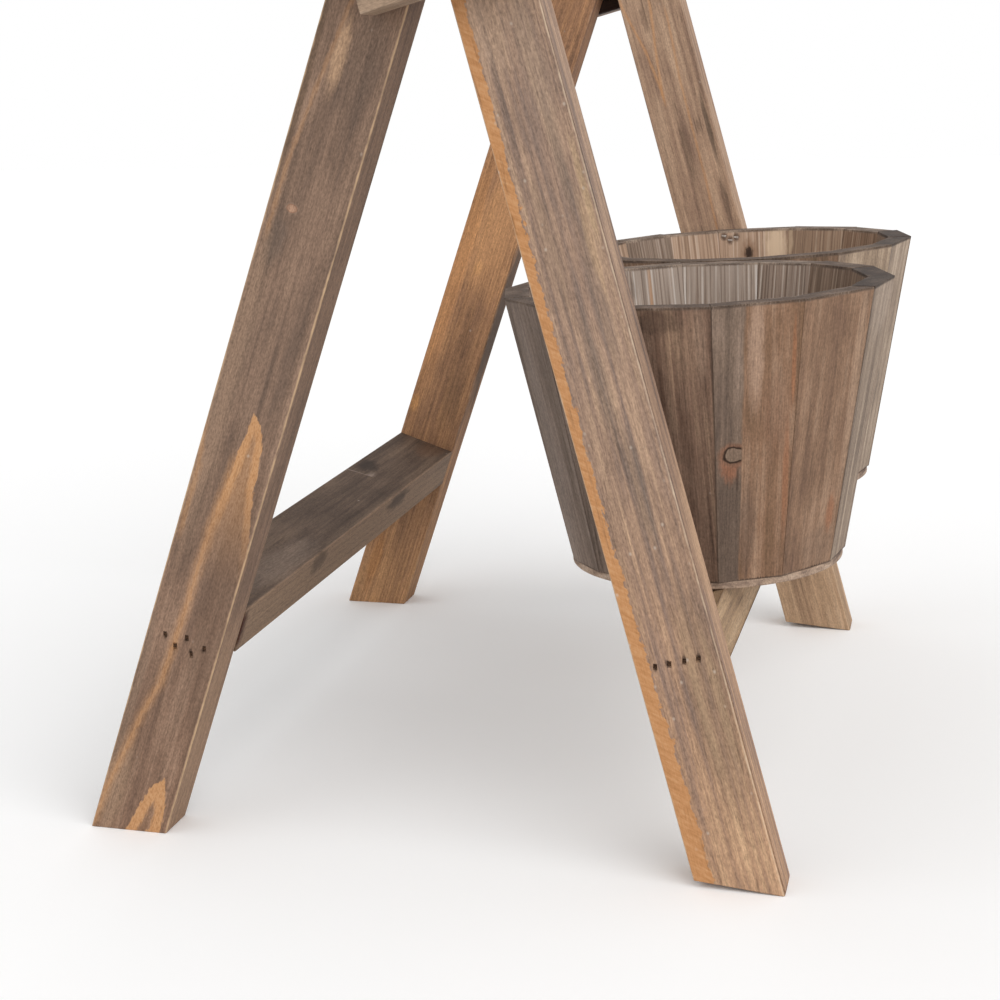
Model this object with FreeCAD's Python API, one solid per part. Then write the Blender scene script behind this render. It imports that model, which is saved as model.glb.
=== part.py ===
import FreeCAD, Part
import math
import os

from FreeCAD import Vector

# Plant stand of two nailed ladders that lean together into an A, with two staved tubs on the front ladder.
# Millimetres and degrees. +X points to the tubs, +Y to the far ladder side, +Z up.
# The origin lies on the floor, in the middle of the space that the stand takes up.

# Board stock of the legs, rungs and cleats
board_width = 45.0
board_thickness = 28.0
arris_chamfer = 1.0

# Frame
stance = 400.0
rear_lean_angle = 19.2
front_lean_angle = 14.5
foot_cut_angle = 19.2
front_leg_length = 650.0
rung_height_along_leg = 129.0
top_rung_drop = 32.0

# Cleats across the outer faces, square to the front legs
cleat_length = 85.0
cleat_height_along_leg = 491.5

# Tubs of flat staves, their widths across two opposite staves
rim_width = 218.5
bottom_width = 155.0
stave_length = 157.0
wall_thickness = 14.0
base_thickness = 4.0
base_lip = 0.7
tub_gap = 0.6
tub_tilt_angle = 2.0
tub_inset_from_rung_edge = 20.5

# Staves, as shares of a full turn, counted from the side that faces -Y towards +X
near_first_joint_angle = 13.0
near_stave_shares = (26.5, 28.5, 25.0, 26.0, 24.0, 22.0, 28.0, 27.0, 25.0, 26.0, 25.0, 23.5, 23.0, 30.5)
far_first_joint_angle = 14.0
far_stave_shares = (25.6, 26.2, 25.2, 25.0, 24.4, 26.7, 30.4, 22.0, 26.0, 25.5, 25.0, 26.0, 26.0, 26.0)

# Nails of the frame: flat T nails that a nailer drives a little below the surface
nail_length = 50.0
nail_head_width = 3.2
nail_head_height = 1.2
nail_shank_width = 2.2
nail_shank_thickness = 1.8
nail_point_length = 3.0
nail_sink = 0.5

# Nails from inside a tub into the leg beside it
tub_nail_length = 34.0
tub_nail_proud = 0.4

# Their places: out from the tub's axis in shares of half the rim's width, down the wall in shares of a stave
tub_nail_places_shares = ((-0.229, 0.026), (-0.189, 0.046), (-0.148, 0.034))

# Brads up through a tub's base into the ends of its staves
brad_length = 20.0

# Nail places on a rung's end, across the leg and along it, as shares of the board's width and thickness
rear_nail_places_shares = ((-0.25, -0.21), (-0.08, -0.36), (0.04, -0.10), (0.15, -0.40), (0.30, -0.17))
front_nail_places_shares = ((-0.26, -0.14), (-0.09, -0.14), (0.09, -0.14), (0.26, -0.14))

# Nail places on a cleat, along its length and across it, as shares of the cleat's length and width
cleat_rear_nail_places_shares = ((0.10, 0.36), (0.19, 0.62), (0.29, 0.76))
cleat_front_nail_places_shares = ((0.62, 0.36), (0.74, 0.62), (0.87, 0.36))

# Reach of a nail's hole past the surface that the nail goes in at
cut_overrun = 2.0

staves_per_brad = 2
full_turn = 360.0

# Two directions run the same way when they share at least this much of their length
same_way_share = 0.999


def leaning(angle):
    """Unit direction in the XZ plane that leans from +Z towards +X by an angle."""
    return Vector(math.sin(math.radians(angle)), 0, math.cos(math.radians(angle)))


def level(angle):
    """Unit direction in the XZ plane that rises from +X towards +Z by an angle."""
    return Vector(math.cos(math.radians(angle)), 0, math.sin(math.radians(angle)))


def meeting(point_a, way_a, point_b, way_b):
    """Point where two lines in the XZ plane meet."""
    turn = way_a.x * way_b.z - way_a.z * way_b.x
    step = point_b - point_a
    return point_a + way_a * ((step.x * way_b.z - step.z * way_b.x) / turn)


def slab(corners, y_low, thickness):
    """Solid with a polygon in the XZ plane as its outline, from y_low on by a thickness."""
    lifted = [Vector(corner.x, y_low, corner.z) for corner in corners]
    wire = Part.makePolygon(lifted + lifted[:1])
    return Part.Face(wire).extrude(Vector(0, thickness, 0))


def ease(solid, way):
    """Take off the sharp arrises of a solid that run along a direction."""
    long_edges = []
    for edge in solid.Edges:
        edge_way = edge.tangentAt(edge.FirstParameter)
        if abs(edge_way.dot(way)) > same_way_share:
            long_edges.append(edge)
    return solid.makeChamfer(arris_chamfer, long_edges)


def nail_outline(length, head_top):
    """Outline of a T nail in its own XZ plane: the point at +Z, the head's top at -head_top."""
    head = nail_head_width / 2
    shank = nail_shank_width / 2
    right = [
        Vector(head, 0, -head_top),
        Vector(head, 0, nail_head_height),
        Vector(shank, 0, nail_head_height),
        Vector(shank, 0, length - nail_point_length),
        Vector(0, 0, length),
    ]
    left = [Vector(-point.x, 0, point.z) for point in reversed(right[:-1])]
    return right + left


def driven(place, way, length, head_top=0):
    """T nail with its head at a place, driven along a direction; head_top lengthens its head for a hole."""
    nail = slab(nail_outline(length, head_top), -nail_shank_thickness / 2, nail_shank_thickness)
    nail.Placement = FreeCAD.Placement(place, FreeCAD.Rotation(Vector(0, 0, 1), way))
    return nail


def stave_angles(first_joint, shares):
    """Start angle and width in degrees of each stave of a tub."""
    starts = []
    start = first_joint
    for share in shares:
        angle = full_turn * share / sum(shares)
        starts.append((start, angle))
        start = start + angle
    return starts


# Staves of both tubs, and the radii of the corners where the flat staves meet
near_angles = stave_angles(near_first_joint_angle, near_stave_shares)
far_angles = stave_angles(far_first_joint_angle, far_stave_shares)
mean_half_angle = math.radians(full_turn / len(near_angles) / 2)
rim_corner_radius = rim_width / 2 / math.cos(mean_half_angle)
bottom_corner_radius = bottom_width / 2 / math.cos(mean_half_angle)
joint_starts = [math.radians(start) for start, angle in near_angles + far_angles]
rim_reach = rim_corner_radius * max(math.sin(start) for start in joint_starts)

# Space between and outside the legs
inner_width = 2 * rim_width + 3 * tub_gap
leg_inner_y = inner_width / 2
leg_outer_y = leg_inner_y + board_thickness
cleat_outer_y = leg_outer_y + board_thickness

# Frame lines in the XZ plane, first with the middle of the feet at zero
rear_up = leaning(rear_lean_angle)
rear_inward = level(-rear_lean_angle)
front_up = leaning(-front_lean_angle)
front_outward = level(front_lean_angle)
foot_length = board_width / math.cos(math.radians(foot_cut_angle))
rear_foot_inward = level(foot_cut_angle - rear_lean_angle)
front_foot_inward = level(front_lean_angle - foot_cut_angle) * -1
front_foot_from_middle = Vector(stance / 2, 0, 0)
front_foot_middle = front_foot_from_middle + front_foot_inward * (foot_length / 2)

# A tub's base touches the outer top edge of the front rung
rung_middle_from_middle = front_foot_middle + front_up * rung_height_along_leg
rung_edge = (
    rung_middle_from_middle
    + front_outward * (board_width / 2 - arris_chamfer)
    + front_up * (board_thickness / 2)
)
tub_up = leaning(-tub_tilt_angle)
tub_outward = level(tub_tilt_angle)
tub_foot_from_middle = rung_edge - tub_outward * tub_inset_from_rung_edge
tub_height = base_thickness + stave_length
rim_front = tub_foot_from_middle + tub_up * tub_height + tub_outward * rim_reach

# The stand reaches from the rear feet to the front of the rims, and the origin is half way
to_origin = Vector((stance / 2 - rim_front.x) / 2, 0, 0)
rear_foot = Vector(-stance / 2, 0, 0) + to_origin
front_foot = front_foot_from_middle + to_origin
front_middle = front_foot_middle + to_origin
rear_middle = rear_foot + rear_foot_inward * (foot_length / 2)
tub_foot = tub_foot_from_middle + to_origin

# Leg outlines: the rear leg is cut to lie against the back edge of the front leg
front_foot_inner = front_foot + front_foot_inward * foot_length
front_top = front_middle + front_up * front_leg_length
front_outline = [
    front_foot,
    front_top + front_outward * (board_width / 2),
    front_top - front_outward * (board_width / 2),
    front_foot_inner,
]
rear_foot_inner = rear_foot + rear_foot_inward * foot_length
rear_outline = [
    rear_foot,
    rear_foot_inner,
    meeting(rear_foot_inner, rear_up, front_foot_inner, front_up),
    meeting(rear_foot, rear_up, front_foot_inner, front_up),
]

# Middles of the rungs
rear_rung_middle = rear_middle + rear_up * rung_height_along_leg
front_rung_middle = front_middle + front_up * rung_height_along_leg
top_rung_middle = front_middle + front_up * (front_leg_length - top_rung_drop)


def rung(middle, across, up):
    """Rung between the legs, its broad faces square to the legs."""
    wide = across * (board_width / 2)
    high = up * (board_thickness / 2)
    corners = [middle - wide - high, middle + wide - high, middle + wide + high, middle - wide + high]
    return ease(slab(corners, -leg_inner_y, inner_width), Vector(0, 1, 0))


def rung_nails(middle, across, up, places_shares, head_top=0):
    """Nails through both legs into the two ends of a rung."""
    nails = []
    for width_share, thickness_share in places_shares:
        place = middle + across * (board_width * width_share) + up * (board_thickness * thickness_share)
        for side in (-1, 1):
            head = Vector(place.x, side * (leg_outer_y - nail_sink), place.z)
            nails.append(driven(head, Vector(0, -side, 0), nail_length, head_top))
    return nails


cleat_end = front_middle + front_up * cleat_height_along_leg + front_outward * (board_width / 2)
cleat_corner = cleat_end - front_outward * cleat_length


def cleat(side):
    """Short board over the joint of a front and a rear leg, its end flush with the front leg's edge."""
    high = front_up * board_width
    corners = [cleat_corner, cleat_end, cleat_end + high, cleat_corner + high]
    y_low = min(side * leg_outer_y, side * cleat_outer_y)
    return ease(slab(corners, y_low, board_thickness), front_outward)


def cleat_nails(side, head_top=0):
    """Nails through a cleat into the two legs that it joins."""
    nails = []
    for length_share, width_share in cleat_rear_nail_places_shares + cleat_front_nail_places_shares:
        along = front_outward * (cleat_length * length_share)
        place = cleat_corner + along + front_up * (board_width * width_share)
        head = Vector(place.x, side * (cleat_outer_y - nail_sink), place.z)
        nails.append(driven(head, Vector(0, -side, 0), nail_length, head_top))
    return nails


# Tubs in their own frame: the axis along +Z, the underside of the base at zero
tub_middle_y = rim_width / 2 + tub_gap / 2


def stood(solid, side):
    """Move a solid from a tub's own frame to its place on the front rung."""
    solid.rotate(Vector(0, 0, 0), Vector(0, 1, 0), -tub_tilt_angle)
    solid.translate(tub_foot + Vector(0, side * tub_middle_y, 0))
    return solid


def stave(start, angle):
    """Flat leaning board from a start angle on, mitred at its sides by the two radial joints."""
    half_angle = math.radians(angle / 2)
    outer_low = Vector(0, -bottom_corner_radius * math.cos(half_angle), base_thickness)
    outer_high = Vector(0, -rim_corner_radius * math.cos(half_angle), tub_height)
    through_wall = Vector(0, wall_thickness, 0)
    section = [outer_low, outer_high, outer_high + through_wall, outer_low + through_wall]
    board = Part.Face(Part.makePolygon(section + section[:1])).extrude(Vector(2 * rim_width, 0, 0))
    board.translate(Vector(-rim_width, 0, 0))
    joint_way = Vector(math.sin(half_angle), -math.cos(half_angle), 0) * (2 * rim_width)
    wedge_corners = [Vector(0, 0, 0), joint_way, Vector(-joint_way.x, joint_way.y, 0)]
    wedge = Part.Face(Part.makePolygon(wedge_corners + wedge_corners[:1])).extrude(Vector(0, 0, tub_height))
    mitred = board.common(wedge)
    mitred.rotate(Vector(0, 0, 0), Vector(0, 0, 1), start + angle / 2)
    return mitred


def base():
    """Round base board under the staves, that stands out a little from their flats."""
    return Part.makeCylinder(bottom_width / 2 + base_lip, base_thickness)


def brads(angles, head_top=0):
    """Brads up through the base, one in every second stave, in the middle of the wall."""
    radius = bottom_width / 2 - wall_thickness / 2
    solids = []
    for start, angle in angles[::staves_per_brad]:
        middle = math.radians(start + angle / 2)
        head = Vector(radius * math.sin(middle), -radius * math.cos(middle), nail_sink)
        solids.append(driven(head, Vector(0, 0, 1), brad_length, head_top))
    return solids


def tub_nails(side, angles, head_top=0):
    """Nails through the stave beside a leg, from inside the tub, into the leg that the rim lies against."""
    leg_angle = full_turn if side < 0 else full_turn / 2
    start, angle = [stave for stave in angles if stave[0] <= leg_angle < sum(stave)][0]
    middle = math.radians(start + angle / 2)
    solids = []
    for along_share, drop_share in tub_nail_places_shares:
        along = rim_width / 2 * along_share
        corner_radius = rim_corner_radius - (rim_corner_radius - bottom_corner_radius) * drop_share
        inner_face = corner_radius * math.cos(math.radians(angle / 2)) - wall_thickness
        across = (along * math.sin(middle) - inner_face) / math.cos(middle)
        place = tub_foot + tub_up * (tub_height - stave_length * drop_share) + tub_outward * along
        head = Vector(place.x, side * (tub_middle_y - tub_nail_proud) + across, place.z)
        solids.append(driven(head, Vector(0, side, 0), tub_nail_length, head_top))
    return solids


# Nails of every joint, and the holes that they fill
rear_nails = rung_nails(rear_rung_middle, rear_inward, rear_up, rear_nail_places_shares)
front_nails = rung_nails(front_rung_middle, front_outward, front_up, front_nail_places_shares)
top_nails = rung_nails(top_rung_middle, front_outward, front_up, front_nail_places_shares)
rear_holes = rung_nails(rear_rung_middle, rear_inward, rear_up, rear_nail_places_shares, cut_overrun)
front_holes = rung_nails(front_rung_middle, front_outward, front_up, front_nail_places_shares, cut_overrun)
top_holes = rung_nails(top_rung_middle, front_outward, front_up, front_nail_places_shares, cut_overrun)

pieces = {}
pieces["rear_rung"] = rung(rear_rung_middle, rear_inward, rear_up).cut(rear_holes)
pieces["front_rung"] = rung(front_rung_middle, front_outward, front_up).cut(front_holes)
pieces["top_rung"] = rung(top_rung_middle, front_outward, front_up).cut(top_holes)
pieces["rear_rung_nails"] = Part.makeCompound(rear_nails)
pieces["front_rung_nails"] = Part.makeCompound(front_nails)
pieces["top_rung_nails"] = Part.makeCompound(top_nails)

tub_plans = (
    ("near", -1, near_angles),
    ("far", 1, far_angles),
)
for name, side, angles in tub_plans:
    leg_low = min(side * leg_inner_y, side * leg_outer_y)
    cleat_holes = cleat_nails(side, cut_overrun)
    wall_holes = tub_nails(side, angles, cut_overrun)
    rear_leg = ease(slab(rear_outline, leg_low, board_thickness), rear_up)
    front_leg = ease(slab(front_outline, leg_low, board_thickness), front_up)
    pieces["rear_leg_" + name] = rear_leg.cut(rear_holes + cleat_holes)
    pieces["front_leg_" + name] = front_leg.cut(front_holes + top_holes + cleat_holes + wall_holes)
    pieces["cleat_" + name] = cleat(side).cut(cleat_holes)
    pieces["cleat_nails_" + name] = Part.makeCompound(cleat_nails(side))
    pieces["tub_nails_" + name] = Part.makeCompound(tub_nails(side, angles))

    brad_holes = [stood(hole, side) for hole in brads(angles, cut_overrun)]
    pieces["tub_base_" + name] = stood(base(), side).cut(brad_holes)
    pieces["base_brads_" + name] = Part.makeCompound([stood(brad, side) for brad in brads(angles)])
    for number, (start, angle) in enumerate(angles, 1):
        solid = stood(stave(start, angle), side).cut(brad_holes + wall_holes)
        pieces["tub_stave_%s_%02d" % (name, number)] = solid

os.makedirs("parts", exist_ok=True)
for node, shape in pieces.items():
    shape.exportStep("parts/" + node + ".step")
    box = shape.BoundBox
    print("%-22s solids %2d  volume %9.0f mm3  x %7.1f %7.1f  y %7.1f %7.1f  z %6.1f %6.1f" % (
        node, len(shape.Solids), shape.Volume, box.XMin, box.XMax, box.YMin, box.YMax, box.ZMin, box.ZMax))
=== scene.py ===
import math
import random
from collections import namedtuple
from functools import partial

import bmesh
import bpy
from mathutils import Matrix, Vector
from mathutils.bvhtree import BVHTree


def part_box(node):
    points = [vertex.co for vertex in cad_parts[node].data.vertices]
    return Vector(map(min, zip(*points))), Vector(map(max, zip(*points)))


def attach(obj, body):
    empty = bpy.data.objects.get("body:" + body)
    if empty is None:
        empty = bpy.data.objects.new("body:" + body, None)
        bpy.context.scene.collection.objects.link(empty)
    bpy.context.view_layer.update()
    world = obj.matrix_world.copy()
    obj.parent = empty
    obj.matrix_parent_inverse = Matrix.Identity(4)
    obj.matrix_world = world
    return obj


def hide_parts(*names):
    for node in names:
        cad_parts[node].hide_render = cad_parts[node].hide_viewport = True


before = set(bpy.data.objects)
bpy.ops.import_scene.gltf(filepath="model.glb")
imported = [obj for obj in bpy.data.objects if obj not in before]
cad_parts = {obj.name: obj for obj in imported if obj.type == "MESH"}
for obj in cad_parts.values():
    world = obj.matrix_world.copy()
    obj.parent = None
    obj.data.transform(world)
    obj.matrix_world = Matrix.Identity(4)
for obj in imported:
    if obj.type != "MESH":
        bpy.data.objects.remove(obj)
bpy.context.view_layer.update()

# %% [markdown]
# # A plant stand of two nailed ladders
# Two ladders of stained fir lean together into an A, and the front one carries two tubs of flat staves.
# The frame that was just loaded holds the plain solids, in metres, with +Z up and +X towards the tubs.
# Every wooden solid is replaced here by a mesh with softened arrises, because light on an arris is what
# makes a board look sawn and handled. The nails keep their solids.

MM = 0.001
scene = bpy.context.scene

# %% [markdown]
# ## Camera
# The frame holds the lower part of a taller picture, so the upright lines meet at a point that lies off
# its middle. A lens shift gives such a frame, where turning the camera would tilt the legs. Place, turn
# and lens were fitted to the corners of the feet and to the edges of the legs.

# %% Camera at the photograph's place
camera = bpy.data.objects.new("camera", bpy.data.cameras.new("camera"))
scene.collection.objects.link(camera)
camera.location = Vector((275.5, -1191.8, 441.7)) * MM
camera.rotation_euler = [math.radians(turn) for turn in (81.681, 1.889, 17.59)]
camera.data.sensor_width = 36
camera.data.lens = 67.83
camera.data.shift_x = 0.109
camera.data.shift_y = -0.17
scene.camera = camera
print("camera lens", round(camera.data.lens, 1), "mm")

# %% [markdown]
# ## Studio
# The stand is shown on white. The world and the floor are white for the camera and for reflections, and
# give less light than that to the wood, so that a colour renders about as it is written. Two soft suns,
# the stronger one in front on the right, shape the boards. View transform Standard keeps colours true.

# %% Colours and a helper that adds nodes


def linear(hex_colour):
    """Linear RGBA of an sRGB hex colour."""
    parts = [int(hex_colour[place:place + 2], 16) / 255 for place in (1, 3, 5)]
    return [part / 12.92 if part <= 0.04045 else ((part + 0.055) / 1.055) ** 2.4 for part in parts] + [1]


def add_node(tree, kind, inputs=(), stops=(), **settings):
    """Add a node. An input takes a value, a socket, or a node, whose first socket in use then feeds it."""
    node = tree.nodes.new("ShaderNode" + kind)
    for name, value in settings.items():
        setattr(node, name, value)
    for number, (position, colour) in enumerate(stops):
        elements = node.color_ramp.elements
        element = elements[number] if number < len(elements) else elements.new(position)
        element.position, element.color = position, colour
    for key, value in dict(inputs).items():
        if isinstance(value, bpy.types.Node):
            value = next(socket for socket in value.outputs if socket.enabled)
        if isinstance(value, bpy.types.NodeSocket):
            tree.links.new(value, node.inputs[key])
        else:
            node.inputs[key].default_value = value
    return node


black, white = linear("#000000"), linear("#FFFFFF")
scene.view_settings.view_transform = "Standard"
print("colours are written as sRGB and shown with", scene.view_settings.view_transform)

# %% White world
world_light = 0.72


def rays_that_show(add):
    """1 for rays that show the background to the eye, straight or in a reflection, and 0 for the others."""
    rays = add("LightPath").outputs
    shown = add("Math", {0: rays["Is Camera Ray"], 1: rays["Is Glossy Ray"]}, operation="MAXIMUM")
    return add("Math", {0: shown, 1: rays["Is Transmission Ray"]}, operation="MAXIMUM")


world = bpy.data.worlds.new("white_studio")
scene.world = world
world.use_nodes = True
world.node_tree.nodes.clear()
add = partial(add_node, world.node_tree)
level = add("MapRange", {"Value": rays_that_show(add), "To Min": world_light, "To Max": 1.0})
add("OutputWorld", {"Surface": add("Background", {"Color": white, "Strength": level})})
print("world lights the stand at", world_light)

# %% Paper floor


def new_material(name):
    """Empty material, and a function that adds nodes to it."""
    material = bpy.data.materials.new(name)
    material.use_nodes = True
    material.node_tree.nodes.clear()
    return material, partial(add_node, material.node_tree)


floor_half = 6.0
in_colour = {"data_type": "RGBA"}
floor_mesh = bmesh.new()
bmesh.ops.create_grid(floor_mesh, size=floor_half)
floor = bpy.data.objects.new("floor", bpy.data.meshes.new("floor"))
floor_mesh.to_mesh(floor.data)
floor_mesh.free()
scene.collection.objects.link(floor)
# White paper, dull: it takes soft shadows and no gloss.
paper, add = new_material("white_paper")
shade = add("Mix", {0: rays_that_show(add), 6: linear("#DADADA"), 7: white}, **in_colour)
add("OutputMaterial", {"Surface": add("BsdfDiffuse", {"Color": shade})})
floor.data.materials.append(paper)
print("floor", 2 * floor_half, "m wide")

# %% Suns
suns = (
    ("key", Vector((1.3, -1.15, 1.35)), 60, 1.4),
    ("fill", Vector((-1.2, -0.9, 0.8)), 60, 0.25),
)
for name, way_to_sun, softness, power in suns:
    sun = bpy.data.objects.new("sun_" + name, bpy.data.lights.new("sun_" + name, "SUN"))
    sun.data.energy = power
    sun.data.angle = math.radians(softness)
    sun.rotation_euler = (-way_to_sun).to_track_quat("-Z", "Y").to_euler()
    scene.collection.objects.link(sun)
print("suns:", [sun[0] for sun in suns])

# %% [markdown]
# ## Axes of a board
# Every board has its own axes: along the grain, across the width and through the thickness. The boards
# lean, so a length along the world's axes says little. With these axes one function can measure any
# solid, build any board and lay any wood grain. The leans are those of the solids.

# %% Axes of the legs, rungs and cleats
Axes = namedtuple("Axes", "origin along across through")
rear_lean = math.radians(19.2)
front_lean = math.radians(14.5)
foot_cut = math.radians(19.2)
sideways = Vector((0, 1, 0))
rear_up = Vector((math.sin(rear_lean), 0, math.cos(rear_lean)))
rear_inward = Vector((math.cos(rear_lean), 0, -math.sin(rear_lean)))
front_up = Vector((-math.sin(front_lean), 0, math.cos(front_lean)))
front_outward = Vector((math.cos(front_lean), 0, math.sin(front_lean)))
board_ways = {
    "rear_leg_near": (rear_up, rear_inward),
    "rear_leg_far": (rear_up, rear_inward),
    "front_leg_near": (front_up, front_outward),
    "front_leg_far": (front_up, front_outward),
    "rear_rung": (sideways, rear_inward),
    "front_rung": (sideways, front_outward),
    "top_rung": (sideways, front_outward),
    "cleat_near": (front_outward, front_up),
    "cleat_far": (front_outward, front_up),
}
print("boards:", len(board_ways))

# %% Measure the solid boards


def to_place(axes):
    """Matrix from a board's own axes to the stand."""
    turn = Matrix((axes.along, axes.across, axes.through)).transposed()
    return Matrix.Translation(axes.origin) @ turn.to_4x4()


def measured(node, along, across):
    """Axes of a solid board with the origin at its foot, and its size along, across and through."""
    ways = (along, across, along.cross(across))
    corners = [vertex.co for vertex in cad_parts[node].data.vertices]
    lows = [min(corner.dot(way) for corner in corners) for way in ways]
    highs = [max(corner.dot(way) for corner in corners) for way in ways]
    starts = (lows[0], (lows[1] + highs[1]) / 2, (lows[2] + highs[2]) / 2)
    origin = sum((way * start for way, start in zip(ways, starts)), Vector())
    return Axes(origin, *ways), Vector(highs) - Vector(lows)


boards = {node: measured(node, *ways) for node, ways in board_ways.items()}
for node, (axes, size) in boards.items():
    print(node, [round(length / MM, 1) for length in size])

# %% [markdown]
# ## Nails
# A nail gun drove flat nails a little below the surface and left small torn pits. The pits belong to the
# boards, so the nails' heads are looked up in the solids first. A copy of the nails' mesh is merged and
# its flat triangles are joined, and then each head is the one face that lies farthest out.

# %% Heads of the nails
merged_within = 0.001 * MM
head_flatness = 0.01 * MM
flat_angle = math.radians(1)


def heads(*nodes):
    """Middle of each nail's head, on both sides of the stand."""
    places = []
    for node in nodes:
        nails = bmesh.new()
        nails.from_mesh(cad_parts[node].data)
        bmesh.ops.remove_doubles(nails, verts=nails.verts, dist=merged_within)
        bmesh.ops.dissolve_limit(nails, angle_limit=flat_angle, verts=nails.verts, edges=nails.edges)
        outermost = max(abs(vertex.co.y) for vertex in nails.verts) - head_flatness
        middles = [face.calc_center_median() for face in nails.faces]
        places += [middle for middle in middles if abs(middle.y) > outermost]
        nails.free()
    return places


leg_heads = heads("rear_rung_nails", "front_rung_nails", "top_rung_nails")
cleat_heads = heads("cleat_nails_near", "cleat_nails_far")
print("nail heads in legs", len(leg_heads), "in cleats", len(cleat_heads))

# %% [markdown]
# ## Boards
# Each board starts as a cube, stretched to the solid's size. Its long arrises are bevelled, and planes
# saw the feet and the slanted tops. A board is bevelled before it is cut, as it is planed before sawing.
# For a nail's pit, four cuts mark a small rectangle on the outer face, and an inset pushes it in. A
# boolean could cut the pits too, but it would leave ragged triangles on the face.

# %% Saw cuts


def keep_below(mesh, point, normal):
    """Saw off everything in front of a plane and close the cut."""
    everything = mesh.verts[:] + mesh.edges[:] + mesh.faces[:]
    cut = bmesh.ops.bisect_plane(mesh, geom=everything, plane_co=point, plane_no=normal, clear_outer=True)
    rim = [part for part in cut["geom_cut"] if isinstance(part, bmesh.types.BMEdge)]
    bmesh.ops.edgeloop_fill(mesh, edges=rim)


rear_foot_way = rear_inward * math.sin(foot_cut) - rear_up * math.cos(foot_cut)
front_foot_way = -front_outward * math.sin(foot_cut) - front_up * math.cos(foot_cut)
print("feet sawn", round(math.degrees(foot_cut), 1), "degrees off square")

# %% Nail pits
chance = random.Random(7)
pit_half = Vector((1.2, 0, 1.9)) * MM
pit_spread = (0.9, 1.2)
pit_depth = 1.1 * MM
pit_slope = 0.25 * MM
head_depth = 3 * MM


def face_at(mesh, head, outward):
    """Face of a board that lies over a nail's head."""
    mesh.faces.ensure_lookup_table()
    found = BVHTree.FromBMesh(mesh).ray_cast(head + outward, -outward)
    return mesh.faces[found[2]]


def press_pit(mesh, head, outward):
    """Push a small rectangle of the outer face in, round a nail's head."""
    half = pit_half * chance.uniform(*pit_spread)
    for way in (Vector((1, 0, 0)), Vector((0, 0, 1))):
        for sign in (-1, 1):
            face = face_at(mesh, head, outward)
            around = [face] + face.edges[:] + face.verts[:]
            edge = head + way * sign * way.dot(half)
            bmesh.ops.bisect_plane(mesh, geom=around, plane_co=edge, plane_no=way)
    pit = face_at(mesh, head, outward)
    bmesh.ops.inset_individual(mesh, faces=[pit], thickness=pit_slope, depth=-pit_depth)


def pits_on(node, places):
    """Nail heads that lie in a board's outer face, with the way out of it."""
    low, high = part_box(node)
    outward = sideways if low.y + high.y > 0 else -sideways
    outer = max(low.dot(outward), high.dot(outward))
    return [(head, outward) for head in places if abs(head.dot(outward) - outer) < head_depth
            and low.x < head.x < high.x and low.z < head.z < high.z]


print("pits about", [round(2 * half / MM, 1) for half in pit_half if half], "mm")

# %% Board with soft arrises
arris, arris_steps = 0.9 * MM, 4
sawn_edge, sawn_steps = 0.5 * MM, 2
end_facing = 0.5
pieces = {}


def add_piece(name, mesh, node):
    """Turn a bmesh into a piece of the stand that stands for a solid."""
    bmesh.ops.recalc_face_normals(mesh, faces=mesh.faces)
    data = bpy.data.meshes.new(name)
    mesh.to_mesh(data)
    mesh.free()
    piece = bpy.data.objects.new(name, data)
    scene.collection.objects.link(piece)
    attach(piece, "root")
    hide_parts(node)
    pieces[node] = piece


def soften(mesh, edges, width, steps):
    """Round edges off."""
    bmesh.ops.bevel(mesh, geom=edges, offset=width, segments=steps, profile=0.5, affect="EDGES", material=-1)


def make_board(node, saw_cuts=(), pits=()):
    """Board with soft arrises, sawn ends and nail pits in place of a solid one."""
    axes, size = boards[node]
    mesh = bmesh.new()
    bmesh.ops.create_cube(mesh, size=1)
    bmesh.ops.scale(mesh, vec=size, verts=mesh.verts)
    bmesh.ops.translate(mesh, vec=(size.x / 2, 0, 0), verts=mesh.verts)
    long_edges = [edge for edge in mesh.edges if abs(edge.verts[0].co.x - edge.verts[1].co.x) > size.x / 2]
    soften(mesh, long_edges, arris, arris_steps)
    mesh.transform(to_place(axes))
    for point, normal in saw_cuts:
        keep_below(mesh, point, normal)
    end_edges = [edge for edge in mesh.edges
                 if any(abs(face.normal.dot(axes.along)) > end_facing for face in edge.link_faces)]
    soften(mesh, end_edges, sawn_edge, sawn_steps)
    for head, outward in pits:
        press_pit(mesh, head, outward)
    add_piece(node + "_board", mesh, node)


print("arrises", arris / MM, "mm, sawn edges", sawn_edge / MM, "mm")

# %% Legs, cleats and rungs
for side in ("near", "far"):
    rear, front, cleat = "rear_leg_" + side, "front_leg_" + side, "cleat_" + side
    front_axes, front_size = boards[front]
    front_back = front_axes.origin - front_outward * front_size.y / 2
    rear_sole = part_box(rear)[0]
    front_sole = Vector((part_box(front)[1].x, 0, 0))
    make_board(rear, [(rear_sole, rear_foot_way), (front_back, front_outward)], pits_on(rear, leg_heads))
    make_board(front, [(front_sole, front_foot_way)], pits_on(front, leg_heads))
    make_board(cleat, (), pits_on(cleat, cleat_heads))
slit = 3.5 * MM
rung_axes, rung_size = boards["rear_rung"]
slit_start = rung_axes.origin - rung_axes.through * rung_size.z / 2
slit_way = rung_axes.through * slit - rung_axes.along * rung_size.z
make_board("rear_rung", [(slit_start, slit_way.normalized())])
make_board("front_rung")
make_board("top_rung")
print("boards made:", sorted(pieces))

# %% [markdown]
# ## Tubs
# A tub is a ring of flat staves on a round board. Each stave is a leaning plank, mitred so that its
# sides lie on radii of the tub. A spun wall would be round, and these walls have flats, so each stave is
# made by itself: a cube is stretched to a plank, sheared to lean with the wall, and sawn by the two
# radial planes. The planes are moved in by a hair, so that joints show, and staves stand up or out by a
# few tenths of a millimetre, as hand-nailed ones do.

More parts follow.
